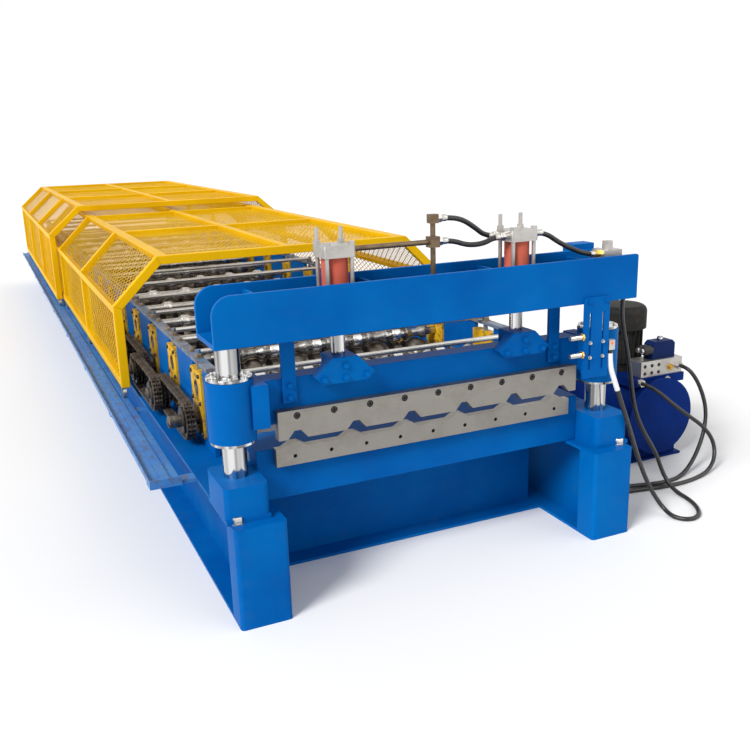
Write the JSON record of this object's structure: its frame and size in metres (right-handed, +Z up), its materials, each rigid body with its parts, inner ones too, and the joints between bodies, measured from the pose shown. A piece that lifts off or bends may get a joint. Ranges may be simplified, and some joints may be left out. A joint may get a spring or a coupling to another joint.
{
  "type": "roll forming machine",
  "caption": "Sheet metal roll forming machine with ribbed roll stations, sliding mesh covers and a hydraulic cutter at its front end.",
  "frame": {"origin": "On the floor under the middle of the front cross beam.", "axes": "+X towards the oil tank, +Y back along the line of rolls, +Z up."},
  "size_m": [2.517, 8.1498, 1.261],
  "materials": {
    "blue_paint": "glossy sprayed paint",
    "dark_blue_paint": "glossy sprayed paint",
    "yellow_paint": "glossy sprayed paint",
    "red_paint": "glossy sprayed paint",
    "ground_steel": "ground, lightly oiled",
    "bright_steel": "hard plated and polished",
    "greasy_steel": "dark and greased",
    "dark_steel": "blackened",
    "motor_grey": "satin paint",
    "black_hose": "satin rubber"
  },
  "bodies": {
    "frame": {"side_beams": "blue_paint", "cross_beams": "blue_paint", "column_bases": "blue_paint", "bed_beam": "blue_paint", "top_beam_front_plate": "blue_paint", "top_beam_rear_plate": "blue_paint", "top_beam_floor": "blue_paint", "limit_box": "blue_paint", "sensor_strip": "blue_paint", "stand_walls": "blue_paint", "cover_rails": "blue_paint", "oil_tank": "dark_blue_paint", "control_valve": "dark_blue_paint", "bearing_blocks": "yellow_paint", "cylinder_barrels": "red_paint", "lower_blade": "ground_steel", "clamp_bars": "ground_steel", "stay_rods": "ground_steel", "hose_unions": "ground_steel", "valve_block": "ground_steel", "guide_columns": "bright_steel", "proximity_sensors": "bright_steel", "rear_lower_rolls": "bright_steel", "rear_upper_rolls": "bright_steel", "hose_manifold": "bright_steel", "drive_chains": "greasy_steel", "rear_sprockets": "greasy_steel", "cylinder_heads": "dark_steel", "feed_pipes": "dark_steel", "pump_motor": "motor_grey", "upper_hose": "black_hose", "lower_hose": "black_hose", "end_hose": "black_hose", "sensor_cable": "black_hose", "valve_hose": "black_hose", "deck_hose": "black_hose"},
    "cutter_head": {"upper_blade": "ground_steel", "die_beam": "blue_paint", "guide_sleeves": "blue_paint", "sleeve_rings": "bright_steel", "rod_brackets": "blue_paint", "piston_rods": "bright_steel", "head_straps": "blue_paint"},
    "lower_roll_1": {"lower_rolls_1": "bright_steel"},
    "upper_roll_1": {"upper_rolls_1": "bright_steel"},
    "lower_roll_2": {"lower_rolls_2": "bright_steel"},
    "upper_roll_2": {"upper_rolls_2": "bright_steel"},
    "front_cover": {"front_cover_sides": "yellow_paint", "front_cover_slopes": "yellow_paint", "front_cover_roof": "yellow_paint", "front_cover_mesh": "yellow_paint", "front_cover_wheels": "ground_steel"},
    "rear_cover": {"rear_cover_sides": "yellow_paint", "rear_cover_slopes": "yellow_paint", "rear_cover_roof": "yellow_paint", "rear_cover_mesh": "yellow_paint", "rear_cover_wheels": "ground_steel"}
  },
  "joints": [
    {"name": "cutter_slide", "type": "slide", "parent": "frame", "child": "cutter_head", "axis": [0, 0, 1], "range_m": [-0.06, 0]},
    {"name": "roll_drive", "type": "hinge", "parent": "frame", "child": "lower_roll_1", "pos_m": [0, 0.427, 0.455], "axis": [1, 0, 0], "continuous": true},
    {"name": "upper_roll_1_turn", "type": "hinge", "parent": "frame", "child": "upper_roll_1", "pos_m": [0, 0.427, 0.573], "axis": [1, 0, 0], "continuous": true},
    {"name": "lower_roll_2_turn", "type": "hinge", "parent": "frame", "child": "lower_roll_2", "pos_m": [0, 0.882, 0.455], "axis": [1, 0, 0], "continuous": true},
    {"name": "upper_roll_2_turn", "type": "hinge", "parent": "frame", "child": "upper_roll_2", "pos_m": [0, 0.882, 0.573], "axis": [1, 0, 0], "continuous": true},
    {"name": "front_cover_slide", "type": "slide", "parent": "frame", "child": "front_cover", "axis": [0, 1, 0], "range_m": [-1, 2.4]},
    {"name": "rear_cover_slide", "type": "slide", "parent": "frame", "child": "rear_cover", "axis": [0, 1, 0], "range_m": [-2.7, 0.2]}
  ],
  "couplings": [
    {"joint": "upper_roll_1_turn", "follows": "roll_drive", "ratio": -1},
    {"joint": "lower_roll_2_turn", "follows": "roll_drive", "ratio": 1},
    {"joint": "upper_roll_2_turn", "follows": "roll_drive", "ratio": -1}
  ]
}
